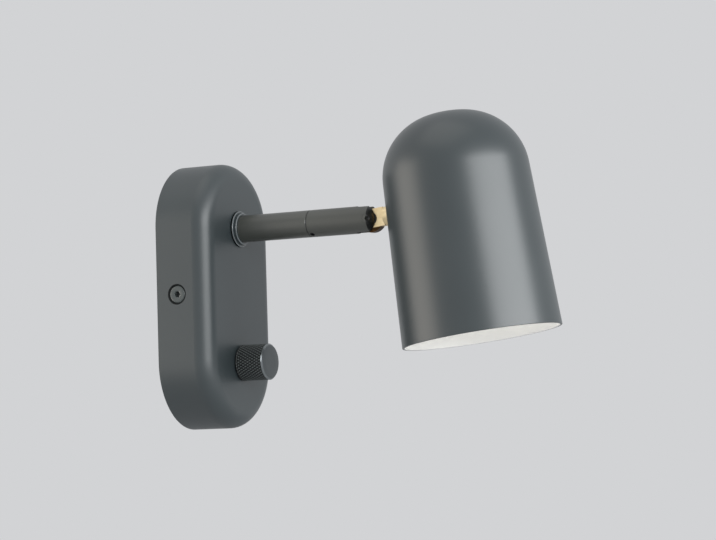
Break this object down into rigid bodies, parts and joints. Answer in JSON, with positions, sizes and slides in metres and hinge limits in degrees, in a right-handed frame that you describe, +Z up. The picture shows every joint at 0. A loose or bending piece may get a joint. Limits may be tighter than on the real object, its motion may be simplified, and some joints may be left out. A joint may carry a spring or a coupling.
{
  "type": "wall reading lamp",
  "caption": "Bedside wall reading lamp: stadium base with dimmer knob, swivelling arm and a domed metal shade on a brass tilt joint.",
  "frame": {"origin": "centre of the base's back face, on the wall, midway between the two wall screws", "axes": "+Z up, the wall is the plane y = 0 and the arm reaches into the room along -Y, +X to the right seen from the room"},
  "size_m": [0.0814, 0.2085, 0.1567],
  "materials": {
    "slate_paint": "satin slate grey powder coat",
    "shade_paint": "satin slate grey outside, white inside",
    "zinc_steel": "zinc plated",
    "plain_steel": "bright turned",
    "black_steel": "black oxide",
    "brass": "satin turned brass",
    "nickel": "nickel plated",
    "black_rubber": "matt",
    "black_nylon": "matt",
    "black_plastic": "matt moulded",
    "white_plastic": "matt moulded",
    "lead_insulation": "silicone sleeved",
    "opal_glass": "opal"
  },
  "bodies": {
    "base": {"base_cover": "slate_paint", "cover_screws": "slate_paint", "wall_plate": "zinc_steel", "clinch_nuts": "zinc_steel", "cable_grommet": "black_rubber", "terminal_block": "white_plastic", "terminal_inserts": "brass", "terminal_screws": "plain_steel", "earth_screw": "brass", "earth_washer": "plain_steel", "arm_supply_leads": "lead_insulation", "dimmer_leads": "lead_insulation", "arm_collar": "slate_paint", "rear_arm_tube": "slate_paint", "arm_nipple": "zinc_steel", "arm_lock_washer": "zinc_steel", "arm_lock_nut": "zinc_steel", "seam_washer": "black_nylon", "swivel_spigot": "brass", "friction_ring": "black_rubber", "dimmer_body": "black_plastic", "dimmer_bush": "zinc_steel", "dimmer_washer": "zinc_steel", "dimmer_nut": "zinc_steel"},
    "arm": {"front_arm": "slate_paint", "stop_screw": "black_steel", "pivot_screw": "black_steel", "friction_washers": "black_nylon", "arm_leads": "lead_insulation"},
    "head": {"shade": "shade_paint", "tongue": "brass", "saddle_washer": "black_nylon", "holder_bracket": "zinc_steel", "shade_nut": "zinc_steel", "holder_nipple": "zinc_steel", "holder_nut": "zinc_steel", "lamp_holder": "white_plastic", "holder_screw_shell": "brass", "centre_contact": "brass", "bulb_cap": "nickel", "bulb_globe": "opal_glass", "head_leads": "lead_insulation"},
    "knob": {"knob": "slate_paint", "dimmer_shaft": "plain_steel"}
  },
  "joints": [
    {"name": "arm_swivel", "type": "hinge", "parent": "base", "child": "arm", "pos_m": [0, -0.0736, 0.035], "axis": [0, 1, 0], "range_deg": [-160, 160]},
    {"name": "head_tilt", "type": "hinge", "parent": "arm", "child": "head", "pos_m": [0, -0.10925, 0.035], "axis": [0.9998, 0, 0.0192], "range_deg": [-80, 80]},
    {"name": "knob_turn", "type": "hinge", "parent": "base", "child": "knob", "pos_m": [0, -0.0311, -0.0358], "axis": [0, 1, 0], "range_deg": [-140, 140]}
  ]
}
